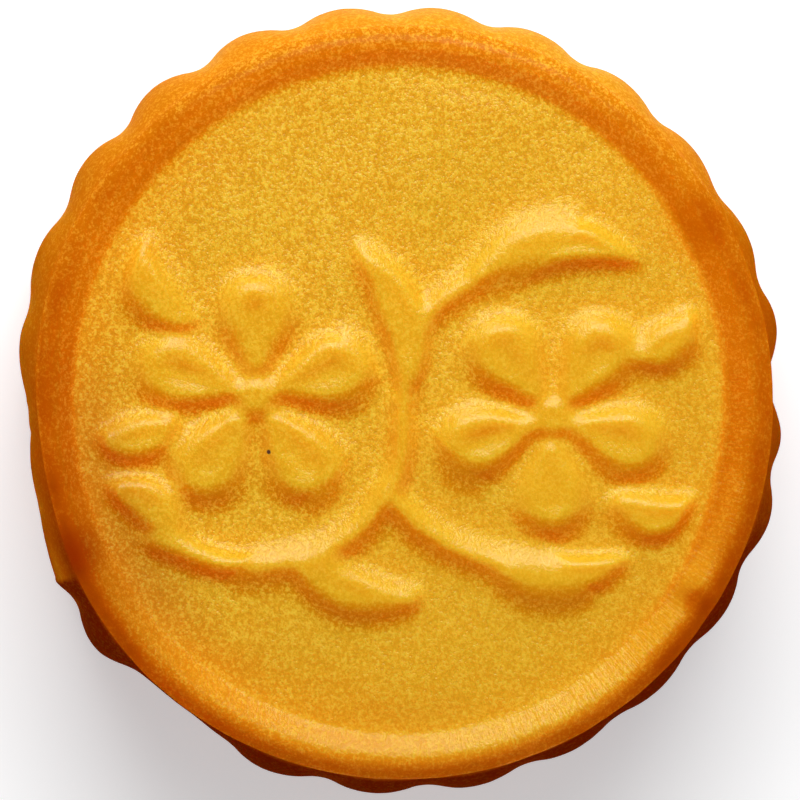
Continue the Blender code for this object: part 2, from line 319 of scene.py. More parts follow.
class MooncakeForm(bpy.types.PropertyGroup):
    """Sizes of the crust. Each one is an input of the crust's Geometry Nodes."""

    height: size_of("Height", "From the base to the crest of the rim", 27.0)
    lip_radius: size_of("Lip radius", "Of the rim's outer edge", 34.45)
    lip_dent: size_of("Lip dent", "How far the lip is pressed in at one place", 0.75)
    lip_dent_angle: angle_of("Lip dent angle", "Where that is", 190)
    lip_dent_width: angle_of("Lip dent width", "Half of it, roughly", 20)
    groove_radius: size_of("Groove radius", "Of the side at the grooves between flutes", 35.75)
    oval: share_of("Oval", "How much longer one way and shorter the other the cake is", 0.008)
    oval_angle: angle_of("Oval angle", "The way that it is longer", 101)
    face_radius: size_of("Face radius", "Of the pressed face, at the foot of the rim", 30.4)
    face_offset: size_of("Face offset", "How far the face lies off the middle, towards +Y", 0.2)
    crest_radius: size_of("Crest radius", "Of the rim's highest line", 32.85)
    rim_height: size_of("Rim height", "Of the crest over the face", 1.15)
    lip_drop: size_of("Lip drop", "From the crest down to the lip", 0.9)
    rim_foot: share_of("Rim foot", "How round the foot of the rim's inner slope is", 0.12)
    rim_crest: share_of("Rim crest", "How round the top of the inner slope is", 0.34)
    bead_height: size_of("Bead height", "Of the fine ridge that the mould left along the lip", 0.12)
    bead_width: size_of("Bead width", "Half the width of that ridge", 0.22)
    rim_wave: size_of("Rim wave", "How far the crest rises and falls round the cake", 0.14)
    face_swell: size_of("Face swell", "Height of the broad swells of the face", 0.09)
    face_blend: size_of("Face blend", "Width over which the face levels out before the rim", 1.5)
    foot_margin: size_of("Foot margin", "Level strip of the face just inside the rim", 1.1)
    wrinkle_angle: angle_of("Wrinkle angle", "Where the rim is wrinkled", -34)
    wrinkle_width: angle_of("Wrinkle width", "From its crest to its hollow, roughly", 3)
    wrinkle_height: size_of("Wrinkle height", "How high its crest stands and how deep its hollow is", 0.22)
    flutes: count_of("Flutes", "Number of round flutes", 24)
    flute_depth: size_of("Flute depth", "Of the grooves between flutes", 0.9)
    groove_softness: share_of("Groove softness", "How round the bottom of a groove is", 0.3)
    flute_foot_fade: share_of("Foot fade", "How much shallower the flutes are at the foot", 0.6)
    first_groove: angle_of("First groove", "Where the first groove is", 2.4)
    groove_drift: angle_of("Groove drift", "How far the flutes crowd to one side", 2)
    drift_angle: angle_of("Drift angle", "The side that they crowd from", 323)
    shoulder_fall: size_of("Shoulder fall", "Depth over which the side swells out below the lip", 2.6)
    undercut: size_of("Undercut", "How far the side tucks in right under the lip", 0.16)
    undercut_fall: size_of("Undercut fall", "How far below the lip it tucks in most", 0.45)
    barrel: size_of("Barrel", "How far the middle of the side bellies out", 0.35)
    foot_height: size_of("Foot height", "Over which the side rounds in to the base", 4.0)
    foot_tuck: size_of("Foot tuck", "How far the foot is rounded in", 1.5)
    right_dent: size_of("Right dent", "How far the side is pressed in at the right", 1.45)
    right_dent_angle: angle_of("Right dent angle", "Where that is", 1.8)
    right_dent_width: angle_of("Right dent width", "Half of it, roughly", 6.8)
    left_dent: size_of("Left dent", "How far the side is pressed in at the left", 0.9)
    left_dent_angle: angle_of("Left dent angle", "Where that is", 178.6)
    left_dent_width: angle_of("Left dent width", "Half of it, roughly", 8.1)
    flattened: size_of("Flattened depth", "How far one flute is pressed flat", 0.85)
    flattened_angle: angle_of("Flattened angle", "Where that flute is", 232.7)
    flattened_width: angle_of("Flattened width", "Half of the flat place", 9.7)
    fold_start: angle_of("Fold start", "Where the fold of skin over the flutes starts", 180)
    fold_end: angle_of("Fold end", "Where it ends in a torn flake", 208)
    fold_blend: angle_of("Fold blend", "How softly the fold starts", 5)
    flake_blend: angle_of("Flake edge", "How sharply the flake ends", 0.9)
    flake_ragged: angle_of("Flake raggedness", "How far the flake's torn edge wanders", 1.3)
    fold_sink: size_of("Fold sink", "How far the fold lies under the groove line where it starts", 0.72)
    fold_proud: size_of("Fold thickness", "How far its torn end stands over the grooves", 0.54)
    fold_cover: share_of("Fold cover", "How much of the flutes the fold hides", 0.85)
    relief_height: size_of("Relief height", "Of the raised spray over the face", 1.3)
    relief_uneven: share_of("Relief unevenness", "How much the strokes' height wanders", 0.16)
    relief_wobble: size_of("Relief wobble", "How far the strokes' outlines wander", 0.3)
    lump_height: size_of("Lump height", "Of the broad lumps of the dough", 0.07)
    lump_size: size_of("Lump size", "How broad the lumps are", 4.0)
    pore_height: size_of("Pore height", "Of the close unevenness of the skin", 0.022)
    pore_size: size_of("Pore size", "How close it is", 1.1)
    face_rings: count_of("Face rings", "Loops of faces on the pressed face", 104)
    rim_rings: count_of("Rim rings", "Loops of faces on the rim", 20)
    side_rings: count_of("Side rings", "Loops of faces down the side", 32)
    seed: count_of("Seed", "Of the unevenness", 7)


class MooncakeBake(bpy.types.PropertyGroup):
    """Colours and finish of the baked crust."""

    gold: colour_of("Gold", "Palest crust, on the face", (0.85, 0.44, 0.011))
    amber: colour_of("Amber", "Lightly browned crust, on the rim", (0.82, 0.26, 0.003))
    brown: colour_of("Brown", "Browned crust, at the lip and the side", (0.56, 0.110, 0.001))
    # Umber also carries painted shade on the near side, which faces away from the key light.
    umber: colour_of("Umber", "Darkest crust, at the foot and the hotter side", (0.22, 0.017, 0.0004))
    # The crust's pale grain, in part painted glints.
    glint: colour_of("Glint", "Fine pale grains of the glazed skin", (0.97, 0.63, 0.05))
    dusk: colour_of("Dusk", "How the fine hollows between the grains tint the skin", (0.82, 0.73, 0.42))
    # Painted light: a paler yellow on slopes that face the key light at +Y.
    butter: colour_of("Butter", "Pale yellow skin of the slopes that face +Y", (0.87, 0.505, 0.018))
    # Painted shade: a deep orange on slopes that face away from the key light, to -Y.
    honey: colour_of("Honey", "Deep orange skin of the slopes that face -Y", (0.77, 0.275, 0.0004))
    cushion: colour_of("Cushion", "Clear smooth skin on top of the raised spray", (0.87, 0.455, 0.006))
    russet: colour_of("Russet", "Red-brown patch where the rim is thin", (0.36, 0.036, 0.001))
    # Painted shade: the side, and the lip on the far side, are darkened by this tint.
    shade: colour_of("Side shade", "How much darker the unglazed side is", (0.84, 0.86, 0.95))
    grain_size: size_of("Grain size", "Of the fine grains", 0.33)
    grain_share: share_of("Grain", "How strongly the fine grains show", 0.9)
    roughness: share_of("Roughness", "Of the glazed skin", 0.42)
    glaze: share_of("Glaze", "How much egg glaze lies on the skin", 0.58)
    depth: size_of("Glow depth", "How deep light spreads in the dough", 7.0)


class MooncakeStage(bpy.types.PropertyGroup):
    """Floor, lights and camera."""

    floor_colour: colour_of("Floor", "Plain pale floor", (0.86, 0.88, 0.91))
    floor_glow: FloatProperty(
        name="Floor glow", description="How much the floor is lit from inside", default=0.42
    )
    key_power: FloatProperty(
        name="Key power", description="Of the broad soft light", default=2.65, unit="POWER"
    )
    key_elevation: angle_of("Key elevation", "How high the broad light stands over the floor", 46)
    key_distance: FloatProperty(
        name="Key distance", description="From the cake to the broad light", default=0.50, unit="LENGTH"
    )
    fill: FloatProperty(name="Fill", description="Strength of the light from all round", default=0.26)
    lens_tilt: angle_of("Camera tilt", "How far from straight above the camera stands, towards +Y", 2.2)
    lens_lean: angle_of("Camera lean", "How far from straight above it stands, towards -X", 3.6)
    lens_distance: FloatProperty(
        name="Camera distance", description="From the lens to the face", default=0.369, unit="LENGTH"
    )
    lens_length: FloatProperty(name="Lens", description="Focal length in millimetres", default=180.0)
    aim_x: size_of("Aim right", "Where the camera looks, across", -0.62)
    aim_y: size_of("Aim up", "Where the camera looks, along Y", 0.43)


class Field:
    """A value that changes over the surface. Arithmetic on it adds Math nodes to its tree."""

    def __init__(self, tree, socket):
        self.tree = tree
        self.socket = socket

    def maths(self, operation, *others, clamp=False):
        return maths(self.tree, operation, self, *others, clamp=clamp)

    def __add__(self, other):
        return self.maths("ADD", other)

    def __sub__(self, other):
        return self.maths("SUBTRACT", other)

    def __mul__(self, other):
        return self.maths("MULTIPLY", other)

    def __truediv__(self, other):
        return self.maths("DIVIDE", other)

    def __pow__(self, other):
        return self.maths("POWER", other)

    def __rsub__(self, other):
        return maths(self.tree, "SUBTRACT", other, self)

    def __rtruediv__(self, other):
        return maths(self.tree, "DIVIDE", other, self)

    def __neg__(self):
        return self.maths("MULTIPLY", -1.0)

    __radd__ = __add__
    __rmul__ = __mul__

    def size(self):
        return self.maths("ABSOLUTE")

    def sine(self):
        return self.maths("SINE")

    def cosine(self):
        return self.maths("COSINE")

    def exp(self):
        return self.maths("EXPONENT")

    def least(self, other):
        return self.maths("MINIMUM", other)

    def most(self, other):
        return self.maths("MAXIMUM", other)

    def clamped(self):
        return self.maths("ADD", 0.0, clamp=True)

    def along(self, way):
        """How far a vector goes this way."""
        return vector_maths(self.tree, "DOT_PRODUCT", self, way)

    def between(self, start, full):
        """0 at the start, 1 where it is full, and smooth between them."""
        smooth = {"interpolation_type": "SMOOTHSTEP"}
        return add_node(self.tree, "ShaderNodeMapRange", smooth, Value=self, From_Min=start, From_Max=full)


def plug(tree, value, socket):
    """Joins a field or an output to an input, or sets a plain value on it."""
    if isinstance(value, Field):
        tree.links.new(value.socket, socket)
    elif isinstance(value, bpy.types.NodeSocket):
        tree.links.new(value, socket)
    else:
        socket.default_value = value


def add_node(tree, kind, settings=None, output=0, **inputs):
    """Adds a node with these settings and inputs, and gives back one of its outputs."""
    node = tree.nodes.new(kind)
    for name, value in (settings or {}).items():
        setattr(node, name, value)
    for name, value in inputs.items():
        plug(tree, value, node.inputs[name.replace("_", " ")])
    return Field(tree, node.outputs[output])


def maths(tree, operation, *values, clamp=False):
    node = tree.nodes.new("ShaderNodeMath")
    node.operation = operation
    node.use_clamp = clamp
    for value, socket in zip(values, node.inputs):
        plug(tree, value, socket)
    return Field(tree, node.outputs[0])


def vector_maths(tree, operation, *values):
    node = tree.nodes.new("ShaderNodeVectorMath")
    node.operation = operation
    for value, socket in zip(values, node.inputs):
        plug(tree, value, socket)
    gives_number = operation in ("DOT_PRODUCT", "LENGTH", "DISTANCE")
    return Field(tree, node.outputs["Value" if gives_number else "Vector"])


def scaled(tree, vector, scale):
    return add_node(tree, "ShaderNodeVectorMath", {"operation": "SCALE"}, Vector=vector, Scale=scale)


def joined(tree, x, y, z):
    return add_node(tree, "ShaderNodeCombineXYZ", X=x, Y=y, Z=z)


def split(tree, vector):
    node = tree.nodes.new("ShaderNodeSeparateXYZ")
    plug(tree, vector, node.inputs[0])
    return [Field(tree, socket) for socket in node.outputs]


def noise(tree, place, size, seed, detail=2.0):
    """Smooth random values about 0.5 whose lumps are about this size, in metres."""
    settings = {"noise_dimensions": "4D"}
    scale = 1.0 / size
    return add_node(
        tree, "ShaderNodeTexNoise", settings, Vector=place, W=seed, Scale=scale, Detail=detail, Roughness=0.5
    )


def arrange(tree):
    """Lays a tree's nodes out in columns, from its inputs at the left to its output at the right."""
    before = {node: set() for node in tree.nodes}
    for link in tree.links:
        before[link.to_node].add(link.from_node)
    column = {}
    waiting = list(tree.nodes)
    while waiting:
        ready = [node for node in waiting if all(other in column for other in before[node])]
        for node in ready or waiting:
            column[node] = 1 + max((column.get(other, 0) for other in before[node]), default=0)
        waiting = [node for node in waiting if node not in column]
    filled = {}
    for node in tree.nodes:
        row = filled.get(column[node], 0)
        filled[column[node]] = row + 1
        node.location = (240 * column[node], -190 * row)


# The raised spray's middle lines


def heading(degrees):
    """Unit vector at an angle counter-clockwise from +X."""
    return np.array([math.cos(math.radians(degrees)), math.sin(math.radians(degrees))])


def smooth_path(points, steps):
    """A Catmull-Rom curve through the points, with this many steps between each two."""
    points = np.array(points, float)
    padded = np.vstack([2 * points[0] - points[1], points, 2 * points[-1] - points[-2]])
    path = []
    for a, b, c, d in zip(padded[:-3], padded[1:-2], padded[2:-1], padded[3:]):
        for t in np.arange(steps) / steps:
            bend = (2 * a - 5 * b + 4 * c - d) * t**2 + (3 * b - a - 3 * c + d) * t**3
            path.append(0.5 * (2 * b + (c - a) * t + bend))
    path.append(points[-1])
    return np.array(path)


def ridge(path, half_width, crest=0.0, fall=RIDGE_FALL, dish=0.0):
    """A round raised line: its middle, its half width along it, and the shape of its section."""
    along = np.linspace(0, 1, len(path))
    halves = np.array([half_width(share) for share in along])
    return {"path": path * MM, "half": halves * MM, "crest": crest, "fall": fall, "dish": dish}


def petal(centre, radius, degrees):
    reach = np.linspace(PETAL_START, PETAL_END, STEPS_ALONG)[:, None]
    path = np.array(centre) + radius * reach * heading(degrees)

    def half(along):
        return radius * (PETAL_NARROW + (PETAL_WIDE - PETAL_NARROW) * math.sin(math.pi / 2 * along))

    return ridge(path, half, CUSHION_CREST, CUSHION_FALL, PETAL_DISH)


def blossom_eye(centre, radius):
    """The round middle, as a very short stroke."""
    path = np.array(centre) + np.array([[0, 0], [0.02, 0]])
    return ridge(path, lambda along: EYE_SHARE * radius, CUSHION_CREST, CUSHION_FALL, PETAL_DISH)


def leaf(base, degrees, length, half_width, bend):
    """A bowed leaf, widest near its base, whose midrib is a shallow dish."""
    out = np.linspace(0, 1, STEPS_ALONG)[:, None]
    sag = 4 * bend * out * (1 - out)
    path = np.array(base) + length * (out * heading(degrees) + sag * heading(degrees + 90))

    def half(along):
        share = min(1, LEAF_START_SHARE + (1 - LEAF_START_SHARE) * along)
        taper = math.sin(math.pi * share) ** LEAF_TAPER_POWER
        return LEAF_END + half_width * taper * (LEAF_BASE_GAIN - LEAF_TIP_LOSS * along)

    return ridge(path, half, CUSHION_CREST, CUSHION_FALL, LEAF_DISH)


def stem(points):
    path = smooth_path(points, STEM_STEPS)
    return ridge(path, lambda along: STEM_HALF_WIDTH * (1 - STEM_TAPER * along))


def spray():
    strokes = [stem(points) for points in STEMS]
    strokes += [leaf(*shape) for shape in LEAVES]
    for centre, radius, start in BLOSSOMS:
        strokes += [petal(centre, radius, start + 360 * k / PETALS) for k in range(PETALS)]
        strokes.append(blossom_eye(centre, radius))
    return strokes


def stroke_lines():
    """The spray as a mesh of edges, whose points carry each stroke's number and section."""
    strokes = spray()
    points = np.vstack([stroke["path"] for stroke in strokes])
    edges = []
    values = {name: [] for name in ("half", "crest", "fall", "dish")}
    numbers = []
    widening = []
    first = 0
    for number, stroke in enumerate(strokes):
        count = len(stroke["path"])
        edges += [(first + k, first + k + 1) for k in range(count - 1)]
        first += count
        numbers += [number] * count
        values["half"] += list(stroke["half"])
        for name in ("crest", "fall", "dish"):
            values[name] += [stroke[name]] * count
        step = np.gradient(stroke["path"], axis=0)
        length = np.linalg.norm(step, axis=1)
        slope = np.gradient(stroke["half"]) / length
        widening.append(step / length[:, None] * slope[:, None])
    mesh = bpy.data.meshes.new("spray_lines")
    mesh.from_pydata([(x, y, 0.0) for x, y in points], edges, [])
    for name, numbers_along in values.items():
        mesh.attributes.new(name, "FLOAT", "POINT").data.foreach_set("value", numbers_along)
    mesh.attributes.new("stroke", "INT", "POINT").data.foreach_set("value", numbers)
    slopes = np.column_stack([np.vstack(widening), np.zeros(len(points))])
    mesh.attributes.new("widening", "FLOAT_VECTOR", "POINT").data.foreach_set("vector", slopes.ravel())
    return mesh, len(strokes)


# The crust's Geometry Nodes


def add_inputs(tree, settings):
    """An input for each of the settings' sizes: the fields by name, and the modifier's values."""
    values = {}
    names = {}
    for size in settings.bl_rna.properties:
        if size.identifier in ("rna_type", "name"):
            continue
        kind = "NodeSocketInt" if size.type == "INT" else "NodeSocketFloat"
        socket = tree.interface.new_socket(
            size.name, description=size.description, in_out="INPUT", socket_type=kind
        )
        if size.unit == "LENGTH":
            socket.subtype = "DISTANCE"
        elif size.unit == "ROTATION":
            socket.subtype = "ANGLE"
        elif size.subtype == "FACTOR":
            socket.subtype = "FACTOR"
        socket.default_value = getattr(settings, size.identifier)
        values[socket.identifier] = getattr(settings, size.identifier)
        names[size.identifier] = size.name
    entry = tree.nodes.new("NodeGroupInput")
    fields = {name: Field(tree, entry.outputs[label]) for name, label in names.items()}
    return SimpleNamespace(**fields), values, entry


def place_now(tree):
    return add_node(tree, "GeometryNodeInputPosition")


def move(tree, geometry, **places):
    """Moves the points to a Position or by an Offset."""
    return add_node(tree, "GeometryNodeSetPosition", Geometry=geometry, **places)


def keep(tree, geometry, **fields):
    """Keeps fields as they are now, so that they stay the same after the points move."""
    node = tree.nodes.new("GeometryNodeCaptureAttribute")
    plug(tree, geometry, node.inputs["Geometry"])
    for name in fields:
        node.capture_items.new("FLOAT", name)
    for name, field in fields.items():
        plug(tree, field, node.inputs[name])
    kept = {name: Field(tree, node.outputs[name]) for name in fields}
    return node.outputs["Geometry"], SimpleNamespace(**kept)


def store(tree, geometry, name, value):
    settings = {"data_type": "FLOAT", "domain": "POINT"}
    return add_node(
        tree, "GeometryNodeStoreNamedAttribute", settings, Geometry=geometry, Name=name, Value=value
    )


def stored(tree, name, kind="FLOAT"):
    return add_node(tree, "GeometryNodeInputNamedAttribute", {"data_type": kind}, Name=name)


def disc_places(tree):
    """Each grid point as a place on a disc: how far out its ring is, as a share, and its angle."""
    across, up, _ = split(tree, place_now(tree))
    out = across.size().most(up.size())
    wide = across.size().maths("GREATER_THAN", up.size())
    beside = up / across * (math.pi / 4) + across.maths("LESS_THAN", 0.0) * math.pi
    above = math.pi / 2 - across / up * (math.pi / 4) + up.maths("LESS_THAN", 0.0) * math.pi
    angle = above + wide * (beside - above)
    return out, angle.maths("FLOORED_MODULO", 2 * math.pi)


def hump(angle, centre, width):
    """1 at an angle round the cake, and falling to 0 either side of it."""
    away = (angle - centre).maths("WRAP", math.pi, -math.pi) / width
    return (-(away * away)).exp()


def waves_round(angle, waves, about=0.0):
    """Sine waves round the cake, about a value."""
    total = about
    for count, height, phase in waves:
        total = total + (angle * count + phase).sine() * height
    return total


def flute_bulge(tree, form, angle, depth):
    """How far the side bulges over the grooves, how deep in a groove it is, and where the fold lies."""
    drifted = angle - form.groove_drift * (angle - form.drift_angle).cosine() - form.first_groove
    share = (drifted * form.flutes / (2 * math.pi)).maths("FRACT")
    aside = (share * 2.0 - 1.0).size()
    soft = (aside - (1.0 - form.groove_softness)).most(0.0) ** 2.0 / form.groove_softness
    lobe = (1.0 - aside * aside + soft - form.groove_softness) / (1.0 - form.groove_softness)
    uneven = waves_round(angle, FLUTE_WAVES, about=1.0)

    round_cake = joined(tree, angle.cosine(), angle.sine(), depth / form.lip_radius)
    torn = (noise(tree, round_cake, TORN_PATCH, form.seed, detail=3.0) - 0.5) * 2.0 * form.flake_ragged
    starts = ((angle - form.fold_start) / form.fold_blend).clamped()
    ends = ((form.fold_end + torn - angle) / form.flake_blend).clamped()
    fold = starts.least(ends)
    along = ((angle - form.fold_start) / (form.fold_end - form.fold_start)).clamped()
    proud = (form.fold_proud + form.fold_sink) * along**FOLD_RISE - form.fold_sink
    beside_flat = (angle - form.flattened_angle) / form.flattened_width
    flat = (-((beside_flat * beside_flat) ** 2.0)).exp()
    bulge = form.flute_depth * lobe * uneven * (1.0 - form.fold_cover * fold) * (1.0 - flat)
    bulge = bulge + proud * fold - form.flattened * flat
    bulge = bulge - form.right_dent * hump(angle, form.right_dent_angle, form.right_dent_width)
    bulge = bulge - form.left_dent * hump(angle, form.left_dent_angle, form.left_dent_width)
    return bulge, aside, fold


def body_form(tree, form, out, angle):
    """Where each point of the plain crust lies, and how it lies to the rim, the lip and the flutes."""
    ring = out * (form.face_rings + form.rim_rings + form.side_rings)
    inward = (ring / form.face_rings).clamped()
    across = ((ring - form.face_rings) / form.rim_rings).clamped()
    down = ((ring - form.face_rings - form.rim_rings) / form.side_rings).clamped()
    lip_height = form.height - form.lip_drop
    depth = lip_height * down**LIP_CROWDING

    crest = (form.crest_radius - form.face_radius) / (form.lip_radius - form.face_radius)
    up = (across / crest).least(1.0)
    gains = up.least(form.rim_foot) ** 2.0 / (2.0 * form.rim_foot) + (up - form.rim_foot).most(0.0)
    levels = (up - 1.0 + form.rim_crest).most(0.0) ** 2.0 / (2.0 * form.rim_crest)
    rise = (gains - levels) / (1.0 - form.rim_foot * 0.5 - form.rim_crest * 0.5)
    drop = form.lip_drop * ((across - crest) / (1.0 - crest)).most(0.0) ** 2.0
    wave = form.rim_wave * waves_round(angle, RIM_WAVES)
    away = (angle - form.wrinkle_angle).maths("WRAP", math.pi, -math.pi)
    askew = away / form.wrinkle_width
    wrinkle = form.wrinkle_height * WRINKLE_GAIN * askew * (-(askew * askew)).exp()
    settled = 1.0 - (depth / WAVE_REACH).clamped()
    level = form.height - form.rim_height + form.rim_height * rise - drop - depth
    height = level + rise * (wave + wrinkle) * settled

    shoulder = 1.0 - (-depth / form.shoulder_fall).exp()
    foot = (1.0 - (lip_height - depth) / form.foot_height).most(0.0) ** 2.0
    tuck = depth / form.undercut_fall * (1.0 - depth / form.undercut_fall).exp()
    bulge, aside, fold = flute_bulge(tree, form, angle, depth)
    lip_radius = form.lip_radius - form.lip_dent * hump(angle, form.lip_dent_angle, form.lip_dent_width)
    radius = form.face_radius * inward + (lip_radius - form.face_radius) * across
    radius = radius + (form.groove_radius - lip_radius) * shoulder
    radius = radius + form.barrel * (depth / lip_height * math.pi).sine()
    radius = radius - form.undercut * tuck - form.foot_tuck * foot
    radius = radius + bulge * shoulder * (1.0 - form.flute_foot_fade * foot)

    radius = radius * (1.0 + form.oval * ((angle - form.oval_angle) * 2.0).cosine())
    x = radius * angle.cosine()
    y = radius * angle.sine() + form.face_offset * (1.0 - across)
    to_rim = form.face_radius * (1.0 - inward)
    from_lip = depth - (form.lip_radius - form.face_radius) * (1.0 - across) - to_rim
    bead = form.bead_height * (-((from_lip / form.bead_width) ** 2.0)).exp()
    levelled = ((to_rim - form.foot_margin) / form.face_blend).clamped()
    places = {
        "from_lip": from_lip,
        "levelled": levelled,
        "groove": aside * shoulder,
        "fold": fold * shoulder,
    }
    outward = joined(tree, angle.cosine() * BEAD_SLANT, angle.sine() * BEAD_SLANT, BEAD_SLANT)
    return vector_maths(tree, "ADD", joined(tree, x, y, height), scaled(tree, outward, bead)), places


def sampled(tree, value, stroke, index, kind="FLOAT"):
    """A value at the stroke's point with this index."""
    settings = {"data_type": kind, "domain": "POINT"}
    return add_node(tree, "GeometryNodeSampleIndex", settings, Geometry=stroke, Value=value, Index=index)


def add_spray(tree, form, crust, strokes, count):
    """Adds up over the strokes how high each stands over a point, so that those that meet merge."""
    begin = tree.nodes.new("GeometryNodeRepeatInput")
    end = tree.nodes.new("GeometryNodeRepeatOutput")
    begin.pair_with_output(end)
    plug(tree, count, begin.inputs["Iterations"])
    plug(tree, crust, begin.inputs["Geometry"])

    number = Field(tree, begin.outputs["Iteration"])
    this_one = (stored(tree, "stroke", "INT") - number).size().maths("LESS_THAN", 0.5)
    by_point = {"domain": "POINT"}
    stroke = add_node(tree, "GeometryNodeSeparateGeometry", by_point, Geometry=strokes, Selection=this_one)

    x, y, _ = split(tree, place_now(tree))
    right, ahead = (
        (noise(tree, place_now(tree), WOBBLE_PATCH, form.seed + draw) - 0.5) * 2.0 * form.relief_wobble
        for draw in (11.0, 13.0)
    )
    flat = joined(tree, x + right, y + ahead, 0.0)
    near = tree.nodes.new("GeometryNodeProximity")
    near.target_element = "EDGES"
    plug(tree, stroke, near.inputs[0])
    plug(tree, flat, near.inputs["Sample Position"])
    index = add_node(tree, "GeometryNodeSampleNearest", Geometry=stroke, Sample_Position=flat)
    corner = sampled(tree, place_now(tree), stroke, index, "FLOAT_VECTOR")
    beyond = vector_maths(tree, "SUBTRACT", near.outputs["Position"], corner)
    widening = sampled(tree, stored(tree, "widening", "FLOAT_VECTOR"), stroke, index, "FLOAT_VECTOR")
    half, crest, fall, dish = (
        sampled(tree, stored(tree, name), stroke, index) for name in ("half", "crest", "fall", "dish")
    )
    half = half + beyond.along(widening)

    share = Field(tree, near.outputs["Distance"]) / half
    outer = ((share - crest) / (1.0 - crest)).clamped()
    section = (outer**fall * math.pi).cosine() * 0.5 + 0.5
    inner = (1.0 - share / crest).clamped()
    section = section * (1.0 - dish * (inner * (math.pi / 2)).sine() ** 2.0)
    total = stored(tree, "spray_sum") + section**MERGE_POWER
    plug(tree, store(tree, begin.outputs["Geometry"], "spray_sum", total), end.inputs["Geometry"])
    return end.outputs["Geometry"]


def blurred(tree, value, times):
    return add_node(tree, "GeometryNodeBlurAttribute", {"data_type": "FLOAT"}, Value=value, Iterations=times)


def base_cap(tree, crust):
    """A flat base that closes the open edge of the foot and looks down."""
    neighbours = add_node(tree, "GeometryNodeInputMeshEdgeNeighbors")
    is_open = neighbours.maths("LESS_THAN", 1.5)
    edge = add_node(tree, "GeometryNodeMeshToCurve", Mesh=crust, Selection=is_open)
    base = add_node(tree, "GeometryNodeFillCurve", Curve=edge)
    return add_node(tree, "GeometryNodeFlipFaces", Mesh=base)


def face_swells(x, y):
    """The broad swells of the face, about 1 high."""
    (across, first), (along, second), (slant_x, slant_y, third) = SWELL_ACROSS, SWELL_ALONG, SLANTED_SWELL
    swells = (x * across + first).sine() * (y * along + second).sine()
    return swells + (x * slant_x - y * slant_y + third).sine() * SLANTED_SHARE


def crust_tree(form, count):
    """Shapes the crust round the strokes that come in, and closes its base."""
    tree = bpy.data.node_groups.new("Mooncake crust", "GeometryNodeTree")
    tree.interface.new_socket("Strokes", in_out="INPUT", socket_type="NodeSocketGeometry")
    tree.interface.new_socket("Crust", in_out="OUTPUT", socket_type="NodeSocketGeometry")
    skin = tree.interface.new_socket("Skin", in_out="INPUT", socket_type="NodeSocketMaterial")
    form, values, entry = add_inputs(tree, form)
    strokes = entry.outputs["Strokes"]

    across = (form.face_rings + form.rim_rings + form.side_rings) * 2.0 + 1.0
    crust = add_node(
        tree, "GeometryNodeMeshGrid", Size_X=2.0, Size_Y=2.0, Vertices_X=across, Vertices_Y=across
    )
    out, angle = disc_places(tree)
    place, fields = body_form(tree, form, out, angle)
    crust, kept = keep(tree, crust, **fields)
    crust = move(tree, crust, Position=place)

    crust = add_spray(tree, form, crust, strokes, count)
    x, y, _ = split(tree, place_now(tree))
    relief = stored(tree, "spray_sum").least(1.0) ** (1.0 / MERGE_POWER)
    relief = blurred(tree, relief, RELIEF_BLUR)
    wander = (noise(tree, place_now(tree), UNEVEN_PATCH, form.seed) - 0.5) * 2.0
    raised = form.relief_height * relief * (1.0 + form.relief_uneven * wander)
    crust, top = keep(tree, crust, relief=relief * kept.levelled)
    up = kept.levelled * (form.face_swell * face_swells(x, y) + raised)
    crust = move(tree, crust, Offset=joined(tree, 0.0, 0.0, up))

    _, _, height = split(tree, place_now(tree))
    off_base = (height / LUMP_START).clamped()
    lumps = (noise(tree, place_now(tree), form.lump_size, form.seed + 3.0) - 0.5) * form.lump_height
    pores = (noise(tree, place_now(tree), form.pore_size, form.seed + 5.0) - 0.5) * form.pore_height
    outward = add_node(tree, "GeometryNodeInputNormal")
    crust = move(tree, crust, Offset=scaled(tree, outward, (lumps + pores) * 2.0 * off_base))

    _, ahead, _ = split(tree, outward)
    for name, value in (
        ("lean", blurred(tree, ahead, LEAN_BLUR)),
        ("from_lip", kept.from_lip),
        ("relief", top.relief),
        ("groove", kept.groove),
        ("fold", kept.fold),
    ):
        crust = store(tree, crust, name, value)

    join = tree.nodes.new("GeometryNodeJoinGeometry")
    for piece, smooth in ((crust, True), (base_cap(tree, crust), False)):
        shaded = add_node(tree, "GeometryNodeSetShadeSmooth", Geometry=piece, Shade_Smooth=smooth)
        plug(tree, shaded, join.inputs[0])
    crust = add_node(tree, "GeometryNodeMergeByDistance", Geometry=join.outputs[0], Distance=WELD)

    box = tree.nodes.new("GeometryNodeBoundBox")
    plug(tree, crust, box.inputs[0])
    middle = vector_maths(tree, "ADD", box.outputs["Min"], box.outputs["Max"])
    back = vector_maths(tree, "MULTIPLY", middle, (-0.5, -0.5, 0.0))
    crust = move(tree, crust, Offset=back)
    crust = add_node(tree, "GeometryNodeRealizeInstances", Geometry=crust)
    crust = add_node(tree, "GeometryNodeSetMaterial", Geometry=crust, Material=entry.outputs["Skin"])
    finish = tree.nodes.new("NodeGroupOutput")
    plug(tree, crust, finish.inputs["Crust"])
    arrange(tree)
    return tree, values, skin.identifier


